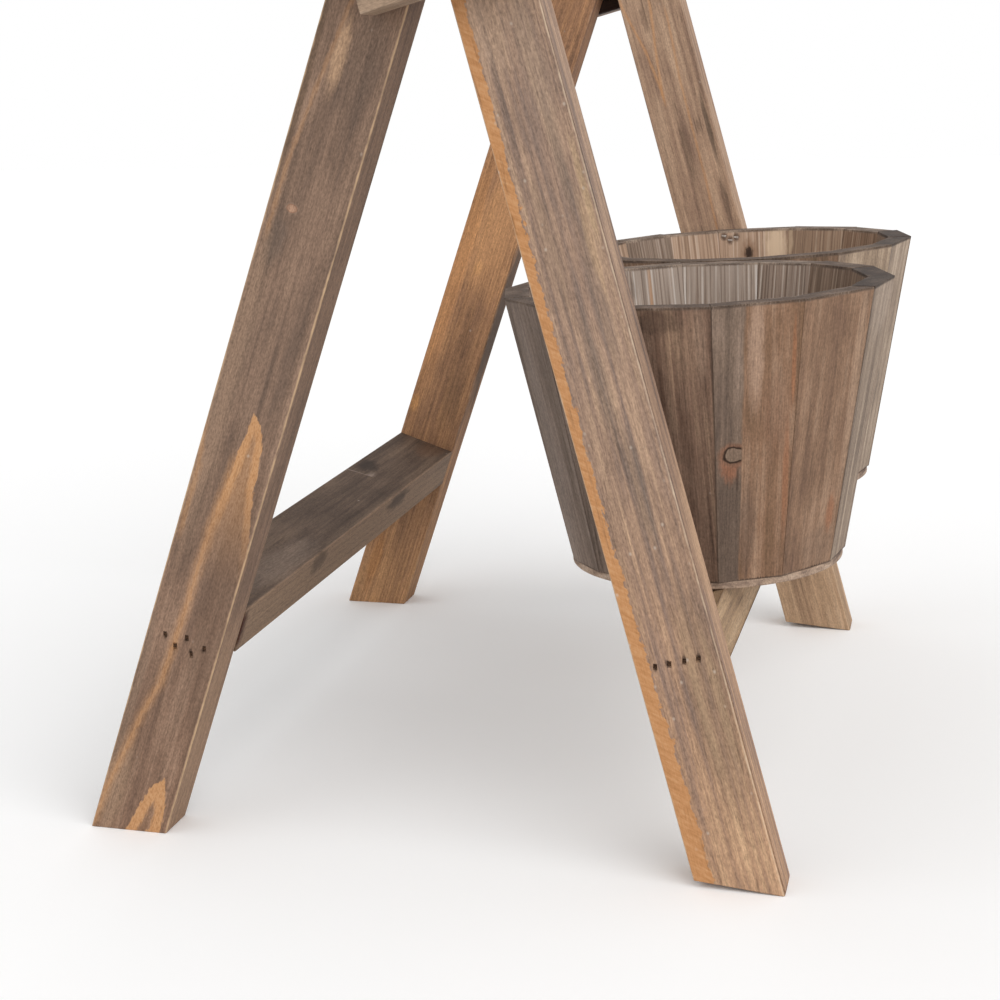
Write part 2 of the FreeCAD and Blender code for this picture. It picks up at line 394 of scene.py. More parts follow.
# %% Measure a stave
tub_tilt = math.radians(2)
tub_up = Vector((-math.sin(tub_tilt), 0, math.cos(tub_tilt)))
tub_outward = Vector((math.cos(tub_tilt), 0, math.sin(tub_tilt)))
Stave = namedtuple("Stave", "angle half reach_low reach_high low high wall")


def stave_measures(node, axle):
    """Middle angle and half angle of a stave, and the reach, height and wall of its outer face."""
    points = [vertex.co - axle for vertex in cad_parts[node].data.vertices]
    middle = sum(points, Vector()) / len(points)
    centre = math.atan2(middle.dot(tub_outward), -middle.y)
    turns = [math.atan2(point.dot(tub_outward), -point.y) - centre for point in points]
    turns = [(turn + math.pi) % (2 * math.pi) - math.pi for turn in turns]
    angle = centre + (max(turns) + min(turns)) / 2
    out = tub_outward * math.sin(angle) - sideways * math.cos(angle)
    heights = [point.dot(tub_up) for point in points]
    low, high = min(heights), max(heights)
    lows = [point.dot(out) for point in points if point.dot(tub_up) < low + MM]
    highs = [point.dot(out) for point in points if point.dot(tub_up) > high - MM]
    half, wall = (max(turns) - min(turns)) / 2, max(highs) - min(highs)
    return Stave(angle, half, max(lows), max(highs), low, high, wall)


axles = {side: sum(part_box("tub_base_" + side), Vector()) / 2 for side in ("near", "far")}
print("axles stand", round((axles["far"] - axles["near"]).length / MM, 1), "mm apart")

# %% Make the staves
Outline = namedtuple("Outline", "half_low half_high length lean")
joint_gap = 0.03 * MM
stave_edge = 0.4 * MM
proud_range = (-0.35, 0.35)
taller_range = (-0.6, 0.1)
stave_axes = {}
stave_outlines = {}


def make_stave(node, axle):
    """Leaning plank between two radial joints, with its axes and its outline in mm for the grain."""
    stave = stave_measures(node, axle)
    spread, rise = stave.reach_high - stave.reach_low, stave.high - stave.low
    out = tub_outward * math.sin(stave.angle) - sideways * math.cos(stave.angle)
    tangent = tub_outward * math.cos(stave.angle) + sideways * math.sin(stave.angle)
    proud, taller = chance.uniform(*proud_range) * MM, chance.uniform(*taller_range) * MM
    mesh = bmesh.new()
    bmesh.ops.create_cube(mesh, size=1)
    bmesh.ops.translate(mesh, vec=(-0.5, 0, 0.5), verts=mesh.verts)
    bmesh.ops.scale(mesh, vec=(stave.wall, 2 * stave.reach_high, rise + taller), verts=mesh.verts)
    shear = Matrix.Identity(4)
    shear[0][2] = spread / rise
    bmesh.ops.transform(mesh, matrix=shear, verts=mesh.verts)
    bmesh.ops.translate(mesh, vec=(stave.reach_low + proud, 0, stave.low), verts=mesh.verts)
    mesh.transform(to_place(Axes(axle, out, tangent, tub_up)))
    for sign in (-1, 1):
        normal = tangent * (sign * math.cos(stave.half)) - out * math.sin(stave.half)
        keep_below(mesh, axle - normal * joint_gap, normal)
    soften(mesh, mesh.edges[:], stave_edge, sawn_steps)
    along = (tub_up * rise + out * spread).normalized()
    foot = axle + tub_up * stave.low + out * stave.reach_low
    stave_axes[node] = Axes(foot, along, tangent, along.cross(tangent))
    half_widths = [reach * math.tan(stave.half) / MM for reach in (stave.reach_low, stave.reach_high)]
    stave_outlines[node] = Outline(*half_widths, math.hypot(rise, spread) / MM, math.atan2(spread, rise))
    add_piece(node + "_plank", mesh, node)


for side, axle in axles.items():
    for node in sorted(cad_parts):
        if node.startswith("tub_stave_" + side):
            make_stave(node, axle)
print("staves:", len(stave_axes))

# %% [markdown]
# ## Base boards
# Under each ring of staves lies a round board, nearly flush with them, so that its sawn edge shows as a
# thin pale band. It takes the solid's own size, and its rims are bevelled.

# %% Make the base boards
base_edge, base_steps, base_corners = 0.7 * MM, 3, 96
base_axes = {}
for side in axles:
    node = "tub_base_" + side
    edge_axes, size = measured(node, tub_outward, sideways)
    base_axes[node] = edge_axes._replace(origin=edge_axes.origin + tub_outward * size.x / 2)
    disc = bmesh.new()
    bmesh.ops.create_cone(disc, cap_ends=True, segments=base_corners,
                          radius1=size.x / 2, radius2=size.x / 2, depth=size.z)
    rims = [edge for edge in disc.edges if abs(edge.verts[0].co.z - edge.verts[1].co.z) < size.z / 2]
    soften(disc, rims, base_edge, base_steps)
    disc.transform(to_place(base_axes[node]))
    add_piece(node + "_disc", disc, node)
print("base boards", round(size.x / MM, 1), "mm across and", round(size.z / MM, 1), "mm thick")

# %% [markdown]
# ## Stained fir
# The boards are fir, planed and then wiped with a thin grey-brown stain. A picture of wood could give
# that look, but it would show its seams and its size. Here each layer is drawn in the board's own axes in
# millimetres, so that grain runs along every board and on round its edges, as it does in solid wood.
# First come streaks of the stain, then fine fibres, and then the growth rings round the tree's pith.

# %% Places on a board, and noise along its grain
smooth = {"interpolation_type": "SMOOTHSTEP"}
layers = {}


def board_point(add, axes):
    """Place on a board in mm: along, across and through."""
    place = {"Vector": add("TexCoord").outputs["Object"], "Location": axes.origin,
             "Rotation": to_place(axes).to_euler(), "Scale": (MM, MM, MM)}
    return add("Mapping", place, vector_type="TEXTURE")


def grain(add, point, cell, shift, detail=3.0):
    """Noise drawn out along the grain; cell is its size along, across and through in mm."""
    stretched = add("VectorMath", {0: point, 1: [1 / length for length in cell], 2: [shift] * 3},
                    operation="MULTIPLY_ADD")
    return add("TexNoise", {"Vector": stretched, "Scale": 1.0, "Detail": detail})


def fade(value, edges, strength=1.0, start=0.0):
    """Inputs of a share that goes from a start at one edge to its strength at the other."""
    return {"Value": value, "From Min": edges[0], "From Max": edges[1], "To Min": start, "To Max": strength}


def layer(add, point, look, name):
    """A named layer of noise. A look may give it another size."""
    cell, shift, detail = layers[name]
    return grain(add, point, look.get(name + "_size", cell), look["seed"] + shift, detail)


print("patterns are drawn in steps of", MM, "m")

# %% Growth rings
sway_size = (260, 60, 60)
sway_reach = (0, 12, 12)
ring_steps = (0.3, 0.9, 1.0)


def ring_lines(add, point, look):
    """Late wood of the growth rings: thin dark lines round the tree's pith, 1 at their darkest."""
    slow = add("VectorMath", {0: point, 1: sway_size}, operation="DIVIDE")
    sway = add("TexNoise", {"Vector": slow, "Scale": 1.0, "Detail": 2.0}).outputs["Color"]
    swayed = add("VectorMath", {0: sway, 1: sway_reach, 2: point}, operation="MULTIPLY_ADD")
    across, through, slant = look["pith"]
    trunk = add("Mapping", {"Vector": swayed, "Location": (0, -across, -through), "Rotation": (0, slant, 0)})
    flat = add("VectorMath", {0: trunk, 1: (0, 1, 1)}, operation="MULTIPLY")
    radius = add("VectorMath", {0: flat}, operation="LENGTH")
    count = add("Math", {0: radius, 1: look["ring_width"]}, operation="DIVIDE")
    phase = add("Math", {0: count}, operation="FRACT")
    return add("ValToRGB", {"Fac": phase}, zip(ring_steps, (black, white, black)))


print("rings sway by", sway_reach[1], "mm over", sway_size[0], "mm")

# %% [markdown]
# A board isn't the same all along. Stain pooled in some places and was rubbed away in others, and small
# knots lie in it. A patch is a frayed ellipse of another tone, and a knot is a dark ring round a heart.
# Both have a depth, so that one on the outside of a thin board doesn't show inside. They lie under the
# fibres, which run on over them. Each is a coat: a colour and the share of the wood that it covers. A few
# patches are painted light and painted shade instead: they lighten or darken a face by how light falls on it.

# %% Coats, patches and knots
patch_fray = 0.8
patch_fade = (1.5, 0.8)
frays_in_reach = 3
knot_reach = Vector((1.852, 2.5))
knot_depth = 12.5
knot_unevenness = 0.4
knot_cell = (8, 6, 6)
knot_steps = (0.3, 0.58, 0.63, 0.69, 0.77)
knot_fade = (1.05, 0.76)


def ramp(steps, tones):
    """Stops of a colour ramp."""
    return zip(steps, [linear(tone) for tone in tones])


def coated(add, colour, coats):
    """Colour under coats, the last one on top."""
    for share, tone in coats:
        colour = add("Mix", {0: share, 6: colour, 7: tone}, **in_colour)
    return colour


def distance_from(add, point, place, reach, cell, unevenness):
    """Uneven distance from a place, 1 at its reach along, across and through."""
    apart = add("VectorMath", {0: point, 1: place}, operation="SUBTRACT")
    apart = add("VectorMath", {0: apart, 1: reach}, operation="DIVIDE")
    distance = add("VectorMath", {0: apart}, operation="LENGTH")
    noise = grain(add, point, cell, place[0])
    return add("Math", {0: noise, 1: unevenness, 2: distance}, operation="MULTIPLY_ADD")


def patch_coat(add, point, patch):
    """Frayed patch of another tone."""
    place, reach, tone, strength = patch
    cell = [length / frays_in_reach for length in reach]
    distance = distance_from(add, point, place, reach, cell, patch_fray)
    return add("MapRange", fade(distance, patch_fade, strength), **smooth), linear(tone)


def knot_coat(add, point, knot):
    """Knot: a heart, a ring and the wood about it."""
    place, radius, (heart, ring, about) = knot
    reach = (*knot_reach * radius, knot_depth)
    distance = distance_from(add, point, place, reach, knot_cell, knot_unevenness)
    tones = ramp(knot_steps, (heart, heart, ring, ring, about))
    share = add("MapRange", fade(distance, knot_fade), **smooth)
    return share, add("ValToRGB", {"Fac": distance}, tones)


print("patches have", frays_in_reach, "frays along their reach")

# %% Stain and fibres
tone_steps = (0.33, 0.5, 0.67)
foot_reach = (300, 20)
height_range = (0.25, 0.75)
thread_range = (0.3, 0.7)
# A layer has a size in mm along, across and through, a shift of its own, and a detail. Fibres are a few
# hundredths of a millimetre wide, too fine to show, so they are drawn this coarse.
layers |= {
    "streak": ((110, 4, 4), 0, 4.0), "blotch": ((50, 16, 16), 31, 3.0), "fibre": ((5, 0.6, 0.6), 57, 2.0),
    "fleck": ((1.5, 1, 1), 83, 4.0), "thread": ((120, 1.1, 1.1), 5, 3.0),
}


def stain(add, point, look):
    """Colour of the stain, and the height of the fibres."""
    streak, blotch, fibre, fleck, thread = [
        layer(add, point, look, name) for name in ("streak", "blotch", "fibre", "fleck", "thread")]
    lying = add("Mix", {0: look["blotch"], 2: streak, 3: blotch})
    colour = add("ValToRGB", {"Fac": lying}, ramp(tone_steps, look["tones"]))
    coats = []
    # Foot tones change the stain towards the foot. On the far rear leg they are lighter, as painted light
    # against the shade low on the leg.
    if "foot_tones" in look:
        along = add("SeparateXYZ", {0: point})
        foot = add("ValToRGB", {"Fac": lying}, ramp(tone_steps, look["foot_tones"]))
        coats.append((add("MapRange", fade(along, foot_reach), **smooth), foot))
    coats += [patch_coat(add, point, patch) for patch in look["patches"]]
    coats += [knot_coat(add, point, knot) for knot in look["knots"]]
    height = add("Mix", {0: look["fleck"], 2: fibre, 3: fleck})
    shade = add("MapRange", fade(height, height_range, 1 + look["fibre"], 1 - look["fibre"]))
    thread = add("MapRange", fade(thread, thread_range, look["thread"], -look["thread"]))
    shade = add("Math", {0: shade, 1: thread}, operation="ADD")
    rings = ring_lines(add, point, look)
    shade = add("Math", {0: rings, 1: -look["ring"], 2: shade}, operation="MULTIPLY_ADD")
    colour = coated(add, colour, coats)
    return add("VectorMath", {0: colour, "Scale": shade}, operation="SCALE"), height


print("fibres drawn", layers["fibre"][0][1], "mm wide")

# %% [markdown]
# Where a sawn face cuts the rings, or a saw took off the stained surface, bare orange wood shows between
# two edges. An edge is a short table of places along and across the board, fitted to the photograph, and
# noise frays it. The same tables draw the pale lines that the flanks of an arch leave on a face.

# %% Edges of bare wood
edge_span = 50
bare_fade = (0, 0.9)
core_fade = 2.5
line_fade = 15


def edge_at(add, along, places):
    """How far across the board an edge lies, read from a table of places along it."""
    start, end = places[0][0], places[-1][0]
    share = add("MapRange", fade(along, (start, end)))
    stops = [((place - start) / (end - start), [across / edge_span / 2 + 0.5] * 3 + [1])
             for place, across in places]
    table = add("ValToRGB", {"Fac": share}, stops)
    return add("MapRange", fade(table, (0, 1), edge_span, -edge_span))


def bare_area(add, along, across, area):
    """Share of bare wood between two edges; deeper inside than the core only a part of it is left."""
    left, right, strength, (core, left_over), fading = area
    past_left = add("Math", {0: across, 1: edge_at(add, along, left)}, operation="SUBTRACT")
    past_right = add("Math", {0: edge_at(add, along, right), 1: across}, operation="SUBTRACT")
    inside = add("Math", {0: past_left, 1: past_right}, operation="MINIMUM")
    share = add("MapRange", fade(inside, bare_fade, strength), **smooth)
    rim = add("MapRange", fade(inside, (core, core + core_fade), left_over, 1.0), **smooth)
    share = add("Math", {0: share, 1: rim}, operation="MULTIPLY")
    reached = add("MapRange", fade(along, fading), **smooth)
    return add("Math", {0: share, 1: reached}, operation="MULTIPLY")


def bare_line(add, along, across, line):
    """Share of bare wood along a line that dies out at both ends."""
    places, width, strength = line
    off = add("Math", {0: across, 1: edge_at(add, along, places)}, operation="SUBTRACT")
    off = add("Math", {0: off}, operation="ABSOLUTE")
    share = add("MapRange", fade(off, (width, 0), strength), **smooth)
    for end, way in ((places[0][0], -line_fade), (places[-1][0], line_fade)):
        near_end = add("MapRange", fade(along, (end + way, end)), **smooth)
        share = add("Math", {0: share, 1: near_end}, operation="MULTIPLY")
    return share


print("edges may lie up to", edge_span, "mm off a board's middle")

# %% Bare wood with saw marks
saw_slant = math.radians(-40)
face_depth = (3, 2)
bare_steps = (0.3, 0.5, 0.68)
layers |= {"fray": ((5, 1.3, 1.3), 11, 4.0), "saw_mark": ((1.3, 9, 9), 23, 2.0)}


def bare_coats(add, point, height, look, size):
    """Bare wood on the face towards the camera."""
    spot = add("SeparateXYZ", {0: point}).outputs
    fray = add("MapRange", fade(layer(add, point, look, "fray"), (0, 1), look["fray"], -look["fray"]))
    across = add("Math", {0: spot[1], 1: fray}, operation="ADD")
    shares = [bare_area(add, spot[0], across, area) for area in look["bare_areas"]]
    shares += [bare_line(add, spot[0], across, line) for line in look["lines"]]
    front = -size.z / MM / 2
    on_face = add("MapRange", fade(spot[2], [front + depth for depth in face_depth]), **smooth)
    slanted = add("Mapping", {"Vector": point, "Rotation": (0, 0, saw_slant)})
    saw_marks = layer(add, slanted, look, "saw_mark")
    shade = add("Mix", {0: look["sawn"], 2: height, 3: saw_marks})
    bare = add("ValToRGB", {"Fac": shade}, ramp(bare_steps, look["bare_tones"]))
    return [(add("Math", {0: share, 1: on_face}, operation="MULTIPLY"), bare) for share in shares]


print("saw marks", layers["saw_mark"][0][0], "mm apart")

# %% [markdown]
# Then come worn arrises, which show as thin pale lines, whitish specks of dust in the stain, and dark
# smudges where stain pooled. Specks are the middles of a few cells of a Voronoi pattern, and smudges are
# the peaks of a stretched noise.

# %% Arrises, specks and smudges
arris_fade = (1.5, 0.5)
gap_fade = 0.25
speck_size = (9, 7, 7)
speck_fade = (0.17, 0.03)
speck_strength = 0.5
chosen_fade = 0.1
smudge_peaks = (0.6, 0.76)
dust, pooled_stain = linear("#D2C2B2"), linear("#3A2D26")
layers |= {"arris": ((9, 3, 3), 29, 3.0), "gap": ((14, 4, 4), 19, 3.0), "smudge": ((26, 2.2, 2.2), 7, 4.0)}


def arris_coat(add, point, look, size):
    """Paler wood along the long arrises, with gaps."""
    spot = add("SeparateXYZ", {0: add("VectorMath", {0: point}, operation="ABSOLUTE")}).outputs
    reach = add("Math", {0: spot[1], 1: spot[2]}, operation="ADD")
    inward = add("Math", {0: (size.y + size.z) / MM / 2, 1: reach}, operation="SUBTRACT")
    uneven = layer(add, point, look, "arris")
    inward = add("Math", {0: uneven, 1: look["worn"], 2: inward}, operation="MULTIPLY_ADD")
    line = add("MapRange", fade(inward, [part * look["worn"] for part in arris_fade]), **smooth)
    gaps = fade(layer(add, point, look, "gap"), (look["broken"], look["broken"] + gap_fade), look["wear"])
    broken = add("MapRange", gaps, **smooth)
    return add("Math", {0: line, 1: broken}, operation="MULTIPLY"), linear(look["arris"])


def mark_coats(add, point, look):
    """Pale specks and dark smudges."""
    cells = add("VectorMath", {0: point, 1: speck_size}, operation="DIVIDE")
    dots = add("TexVoronoi", {"Vector": cells, "Scale": 1.0}).outputs
    few = look["few_specks"]
    chosen = add("MapRange", fade(dots["Color"], (few, few + chosen_fade)), **smooth)
    speck = add("MapRange", fade(dots["Distance"], speck_fade, speck_strength), **smooth)
    share = add("Math", {0: speck, 1: chosen}, operation="MULTIPLY")
    peaks = fade(layer(add, point, look, "smudge"), smudge_peaks, look["smudge"])
    pool = add("MapRange", peaks, **smooth)
    return [(share, dust), (pool, pooled_stain)]


print("specks stand about", speck_size[0], "mm apart at most")

# %% Finish of a board
fibre_height = 0.3 * MM


def fir_surface(add, colour, height):
    """Dull wood with the fibres standing up a little."""
    bump = add("Bump", {"Height": height, "Strength": 0.35, "Distance": fibre_height})
    shader = add("BsdfPrincipled", {"Base Color": colour, "Normal": bump, "Roughness": 0.75, "IOR": 1.5,
                                    "Specular IOR Level": 0.25})
    add("OutputMaterial", {"Surface": shader})


def stained_fir(name, axes, size, look):
    """Planed fir with a wiped stain: dull, streaked along the grain, with paler arrises and bare places."""
    material, add = new_material(name)
    point = board_point(add, axes)
    colour, height = stain(add, point, look)
    coats = [*bare_coats(add, point, height, look, size), arris_coat(add, point, look, size),
             *mark_coats(add, point, look)]
    fir_surface(add, coated(add, colour, coats), height)
    return material


print("fibres stand", fibre_height / MM, "mm high")

# %% [markdown]
# Each board has its own look: the tones of its stain from deep to pale, how strong its fibres are, where
# the pith of the tree lay, its patches, knots and bare places. Lengths are in millimetres on the board.
# A board that the photograph hides shares the plain look.

# %% The plain look, and patches on a face
plain_look = {
    "tones": ("#6A5649", "#8E7463", "#AA8F7A"), "blotch": 0.4, "patches": (), "knots": (), "seed": 1.0,
    "bare_tones": ("#9A7050", "#B98A62", "#C79C74"), "bare_areas": (), "lines": (), "sawn": 0.2, "fray": 2.0,
    "arris": "#C6AC94", "worn": 1.2, "wear": 0.6, "broken": 0.36,
    "fibre": 0.42, "fleck": 0.5, "thread": 0.12, "few_specks": 0.82, "smudge": 0.4,
    "ring": 0.10, "ring_width": 5.5, "pith": (6, 60, 0.03),
}
# How far through the board a face lies, and how deep a patch on it goes.
front_face, rung_top, inner_edge = (-14, 8), (-14, 5), (0, 40)
outer_face, inner_face = (0, 6), (13.7, 5)


def patches_on(face, *rows):
    """Patches on one face, from rows of along, across, length, width, tone and strength."""
    through, depth = face
    return tuple(((along, across, through), (length, width, depth), tone, strength)
                 for along, across, length, width, tone, strength in rows)


print("plain look has", len(plain_look), "choices")

# %% Rear legs
arch_left = ((-6, -5.0), (6, -2.7), (18, -0.2), (27, 2.1), (39, 5.6), (48, 12.0), (49, 12.6))
arch_right = ((-6, 21.5), (15, 19.0), (27, 18.5), (37, 16.1), (48, 13.2), (49, 12.6))
inner_arch_left = ((-6, 3.5), (4, 5.5), (10, 8.0), (14, 10.8), (15, 12.2))
inner_arch_right = ((-6, 17.0), (5, 16.0), (10, 14.8), (14, 13.2), (15, 12.2))
flame_left = ((150, -3.4), (201, -3.4), (237, -0.4), (250, 0.4), (274, 3.0))
flame_right = ((150, 30.0), (205, 21.0), (229, 16.4), (245, 14.8), (255, 14.3), (267, 9.6), (274, 3.0))
flank = ((9, -21.5), (29, -19.8), (54, -15.3), (81, -11.4), (102, -6.0), (152, -3.4), (201, -3.4),
         (237, -0.4))
upper_flank = ((378, -18.3), (412, -17.8), (452, -13.9), (503, -7.9))
left_edge = ((199, -19.2), (213, -19.3), (233, -19.5), (250, -21.7))
looks = {}
looks["rear_leg_near"] = {
    "tones": ("#69564A", "#846B5A", "#997D69"), "foot_tones": ("#6C5446", "#876A57", "#9E806B"),
    "bare_tones": ("#A6754B", "#C99668", "#D4A77C"), "seed": 2.3,
    "blotch": 0.5, "fibre": 0.46, "fleck": 0.6, "fleck_size": (1.8, 0.9, 0.9), "smudge": 0.25,
    "arris": "#D6B48F", "worn": 1.3, "wear": 1.0, "broken": 0.22,
    "bare_areas": ((arch_left, arch_right, 0.95, (5.6, 0.12), (-8, -7)),
                   (inner_arch_left, inner_arch_right, 0.85, (1.2, 0.2), (-8, -7)),
                   (flame_left, flame_right, 0.92, (3.6, 0.5), (165, 245))),
    "lines": ((flank, 5.0, 0.38), (flank, 1.8, 0.34), (upper_flank, 2.2, 0.3), (left_edge, 3.0, 0.4)),
    "knots": (((388, -8.2, front_face[0]), 2.4, ("#AF8A72", "#96725C", "#88705F")),),
    "patches": patches_on(
        front_face, (369, -12.5, 18, 7, "#5E544D", 0.4), (474, -6.0, 24, 5, "#C8A382", 0.75),
        (478, 7.0, 45, 12, "#5E554F", 0.15), (455, -21.5, 70, 4, "#64503E", 0.6),
        (90, -20, 60, 5, "#75685A", 0.25), (280, -17, 130, 9, "#A3866F", 0.5),
        (170, 15, 105, 12, "#6A5344", 0.6), (30, -15, 42, 9, "#A88A70", 0.5),
    # The two patches on the inner narrow side are painted light: they lighten that side, most of all near the
    # foot, where it lies in shade.
    ) + patches_on(inner_edge, (260, 22.5, 500, 1.8, "#A68C79", 0.12), (50, 22.5, 130, 1.8, "#B39377", 0.45)),
}
looks["rear_leg_far"] = {
    "tones": ("#80604C", "#A2795A", "#C29168"), "seed": 9.4, "smudge": 0.5, "blotch": 0.5, "thread": 0.2,
    # Its foot tones are lighter than its stain: painted light against the shade low on the leg.
    "foot_tones": ("#86654E", "#AA805D", "#C09267"),
    "patches": patches_on(
        front_face, (298, -2.3, 8, 4, "#C79463", 0.8), (178, -18.7, 9, 4, "#C6925E", 0.8),
        (325, 0, 60, 30, "#CF9A6A", 0.5), (290, -18, 130, 9, "#CF9562", 0.55),
        (232, 8, 60, 12, "#6B5343", 0.2), (190, 9, 32, 10, "#5E493B", 0.4),
        (42, -11.6, 30, 6, "#B8804E", 0.5),
    # The last patch is painted shade: it darkens the inner narrow side, which lies in shade.
    ) + (((260, 22.5, 0), (100, 2.5, 24), "#352C27", 0.8),),
}
print("rear legs:", list(looks))

# %% Front legs
strip_left = ((0, -40), (520, -40))
strip_right = ((0, -11.0), (15, -11.3), (104, -13.3), (193, -15.8), (318, -16.0), (409, -15.7), (493, -14.9),
               (520, -14.6))
flame_line_left = ((429, -8.4), (462, -12.5), (497, -20.9))
flame_line_right = ((429, -8.4), (457, -5.4), (493, -0.2))
long_line = ((320, 4.8), (357, 6.1), (395, 6.4), (434, 6.8), (479, 9.7))
looks["front_leg_near"] = {
    "tones": ("#786860", "#9F8370", "#C0A085"), "foot_tones": ("#92786A", "#B59073", "#D2AC88"), "seed": 5.1,
    "streak_size": (160, 3.6, 3.6), "fibre": 0.44, "fleck": 0.55, "fleck_size": (1.8, 0.9, 0.9),
    "blotch": 0.3, "few_specks": 0.56, "arris": "#DCC6AA", "worn": 0.95, "wear": 1.0, "broken": 0.2,
    "sawn": 0.5, "bare_tones": ("#AB784B", "#C38D5E", "#D09F72"), "fray": 3.6, "fray_size": (4, 2.5, 2.5),
    "bare_areas": ((strip_left, strip_right, 1.0, (60.0, 1.0), (-8, -7)),),
    "patches": patches_on(
        # The first patch below is painted light: it lightens the top of the leg where the near cleat casts
        # shade.
        front_face, (482, -8, 40, 16, "#C3A58C", 0.45), (455, 11, 50, 9, "#7F7268", 0.3),
        (401, 10.8, 34, 4, "#7C6D60", 0.45), (327, 11.7, 45, 5, "#7C6D60", 0.3),
        (226, 5.5, 45, 5, "#7C6D60", 0.4), (287, 0.5, 45, 5, "#7C6D60", 0.4),
        (383, 19, 34, 2.5, "#C4A680", 0.5), (358, 15, 34, 3, "#B99A78", 0.45),
        (355, -6, 45, 6, "#85705F", 0.4), (112, 12, 80, 14, "#7D6755", 0.5),
        (110, 17, 50, 3, "#C2A581", 0.25), (110, 6.8, 50, 2.5, "#C4A783", 0.25)),
}
looks["front_leg_far"] = {
    "tones": ("#856A5A", "#AC8D75", "#C3A388"), "foot_tones": ("#8F735C", "#B39375", "#C8A98B"), "seed": 13.2,
    "smudge": 0.45, "fibre": 0.36, "fray": 0.8, "bare_tones": ("#BA8355", "#C99465", "#D5A67A"),
    "lines": ((flame_line_left, 1.8, 0.6), (flame_line_right, 1.8, 0.6), (long_line, 1.5, 0.5)),
    "patches": patches_on(
        front_face, (395, 18, 34, 2.4, "#4B3D34", 0.7), (380, -2, 30, 4, "#604D40", 0.5),
        (338, 16, 26, 3, "#5A483D", 0.55), (484, -7.4, 12, 3, "#6A5445", 0.5)),
}
print("front legs' patches:", [len(looks["front_leg_" + side]["patches"]) for side in ("near", "far")])

# %% Rungs, cleats and torn marks by the nails
mark_moves = ((-2, 2), (-1, 1))
mark_reach = (2.6, 1.3, 4)
mark_tone, mark_strength = "#463429", 0.75


def torn_marks(node, axes):
    """Dark torn fibres beside each nail of a board, as patches."""
    to_board = to_place(axes).inverted()
    places = [to_board @ head / MM for head, outward in pits_on(node, leg_heads + cleat_heads)]
    moves = [Vector([chance.uniform(*move) for move in mark_moves] + [0]) for place in places]
    return tuple((place + move, mark_reach, mark_tone, mark_strength) for place, move in zip(places, moves))


crack = ((303, -24.0), (306, -15.0), (308, -5.0))
looks["rear_rung"] = {
    "tones": ("#463930", "#5F4E42", "#766252"), "seed": 17.7, "streak_size": (140, 5, 5), "arris": "#A88D78",
    "lines": ((crack, 4.0, 0.6),), "fray": 0.8, "bare_tones": ("#8C7A6C", "#A8968A", "#B9A99B"),
    "patches": (
        # The first patch, on the side face, is partly paler, less stained wood and partly painted light.
        ((219, 22.5, 0), (420, 2.0, 40), "#9F846C", 0.75),
        ((300, 22.5, -8), (30, 3, 8), "#3A2E27", 0.7),
        ((131, 22.5, -8), (18, 3, 9), "#43362E", 0.6),
        *patches_on(rung_top, (328, -13, 20, 9, "#2C221D", 0.75), (422, 8, 28, 12, "#6B4F3C", 0.5),
                    (85, 10, 70, 14, "#8C796B", 0.55)),
        ((0, 24, -2), (11, 6, 18), "#45261A", 1.0)),
}
looks["front_rung"] = {"tones": ("#7F6650", "#A88B6C", "#BFA283"), "seed": 21.9}
looks["top_rung"] = {"seed": 26.3}
looks["cleat_near"] = {"tones": ("#8A7462", "#A38A74", "#B59C85"), "seed": 31.6}
looks["cleat_far"] = {
    # Its dark arrises and the dark patch over its inner face are painted shade.
    "tones": ("#735F51", "#8E7766", "#A58D79"), "seed": 37.2, "arris": "#4A382F",
    "patches": (((48, 0, 14), (170, 80, 15), "#35261E", 1.0),),
}
for node, (axes, size) in boards.items():
    look = plain_look | looks[node]
    look["patches"] += torn_marks(node, axes)
    pieces[node].data.materials.append(stained_fir("stained_fir_" + node, axes, size, look))
print("stained fir on", len(boards), "boards")

# %% [markdown]
# ## Staves
# The staves are thinner fir of the same stain. Their tops were scorched dark by the saw, and their insides
# are greyer, with pale lines of early wood. The same dark tones paint shade along their feet, where they
# meet the base board. Each came from another board, so each has its own tone. The same stain draws them,
# and the place on the stave tells the inside, the top, the foot and the joints from the rest.

# %% Inside, strip and joints of a stave
wall_middle = (9, 11)
inside_steps = (0.38, 0.5, 0.55, 0.67)
stain_inside = 0.3
strip_fray = 4.0
strip_fade = (3.0, 1.0)
joint_fade = (1.2, 0.2)
joint_tone = linear("#33271F")
layers |= {"inside": ((170, 1.7, 1.7), 3, 4.0), "strip": ((30, 3, 3), 9, 3.0)}


def inside_coat(add, point, colour, look):
    """Greyer inside of a stave, lined along the grain, with some of the stain left in it."""
    deep, middle, pale = look["inside"]
    inside = add("ValToRGB", {"Fac": layer(add, point, look, "inside")},
                 ramp(inside_steps, (deep, middle, middle, pale)))
    coats = [(stain_inside, colour)] + [patch_coat(add, point, patch) for patch in look["inside_patches"]]
    depth = add("SeparateXYZ", {0: point}).outputs[2]
    return add("MapRange", fade(depth, wall_middle), **smooth), coated(add, inside, coats)


def strip_coat(add, point, look):
    """Strip of another tone along one side of a stave."""
    edge, strip_look = look["strip"]
    across = add("SeparateXYZ", {0: point}).outputs[1]
    fray = layer(add, point, look, "strip")
    across = add("Math", {0: fray, 1: strip_fray, 2: across}, operation="MULTIPLY_ADD")
    share = add("MapRange", fade(across, [edge + step for step in strip_fade]), **smooth)
    return share, stain(add, point, look | strip_look)[0]


